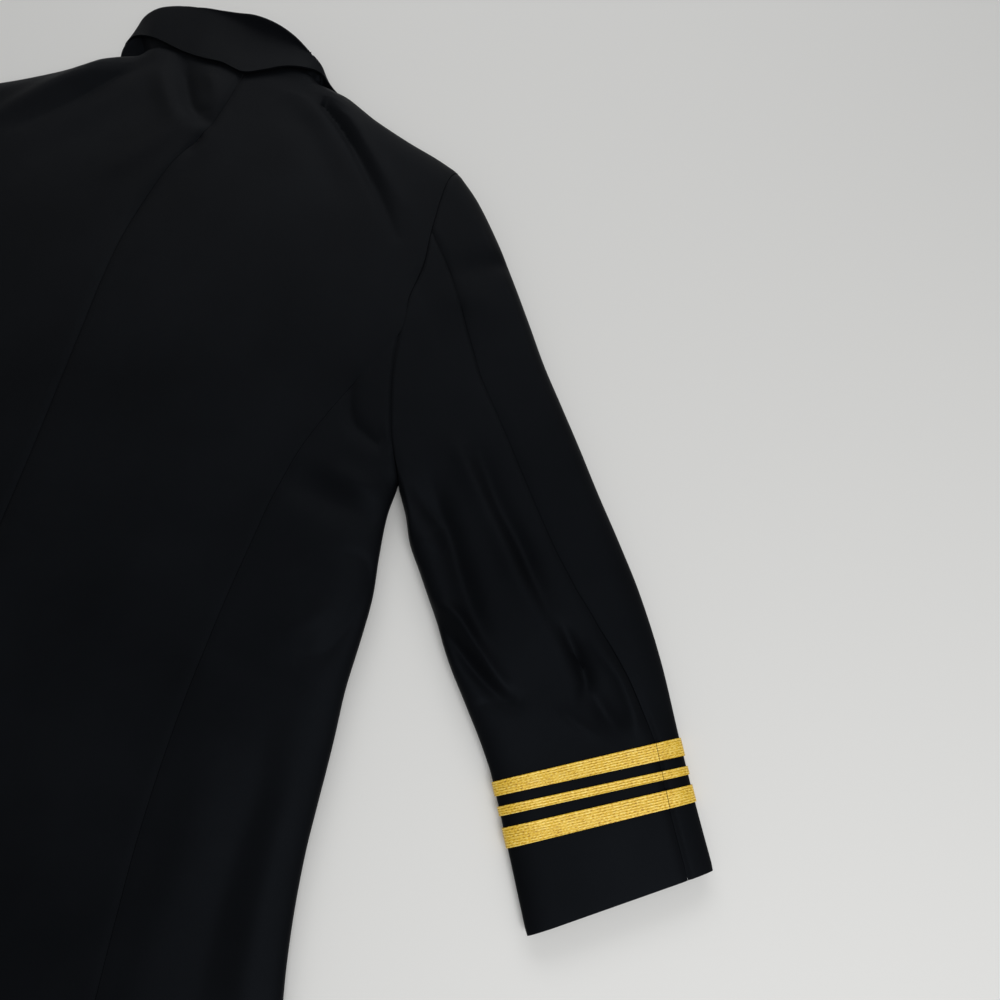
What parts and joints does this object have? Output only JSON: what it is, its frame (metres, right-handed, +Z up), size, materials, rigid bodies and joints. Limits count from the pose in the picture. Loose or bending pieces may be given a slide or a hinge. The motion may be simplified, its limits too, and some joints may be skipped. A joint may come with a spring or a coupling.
{
  "type": "double-breasted uniform blazer lying face down",
  "caption": "Long-sleeved wool jacket lying flat with its back up, collar folded over, fronts overlapping underneath and gold lace bands round both cuffs",
  "frame": {"origin": "on the surface it lies on, below the middle of its outline", "axes": "+Z up from the surface, +Y toward the collar, +X toward the wearer's right sleeve"},
  "size_m": [1.2038, 0.9283, 0.0549],
  "materials": {
    "wool": "black worsted wool, matt, with a soft low sheen",
    "lace": "gold lace with fine lengthwise ribs and beaded edges",
    "gilt": "polished gilt"
  },
  "bodies": {
    "root": {"back_right": "wool", "back_left": "wool", "side_right": "wool", "side_left": "wool", "front_right": "wool", "front_left": "wool", "top_sleeve_right": "wool", "top_sleeve_left": "wool", "under_sleeve_right": "wool", "under_sleeve_left": "wool", "lapel_right": "wool", "lapel_left": "wool", "collar": "wool", "braid_upper_right": "lace", "braid_middle_right": "lace", "braid_lower_right": "lace", "braid_upper_left": "lace", "braid_middle_left": "lace", "braid_lower_left": "lace", "button_1_1": "gilt", "button_1_2": "gilt", "button_2_1": "gilt", "button_2_2": "gilt", "button_3_1": "gilt", "button_3_2": "gilt"}
  },
  "joints": []
}
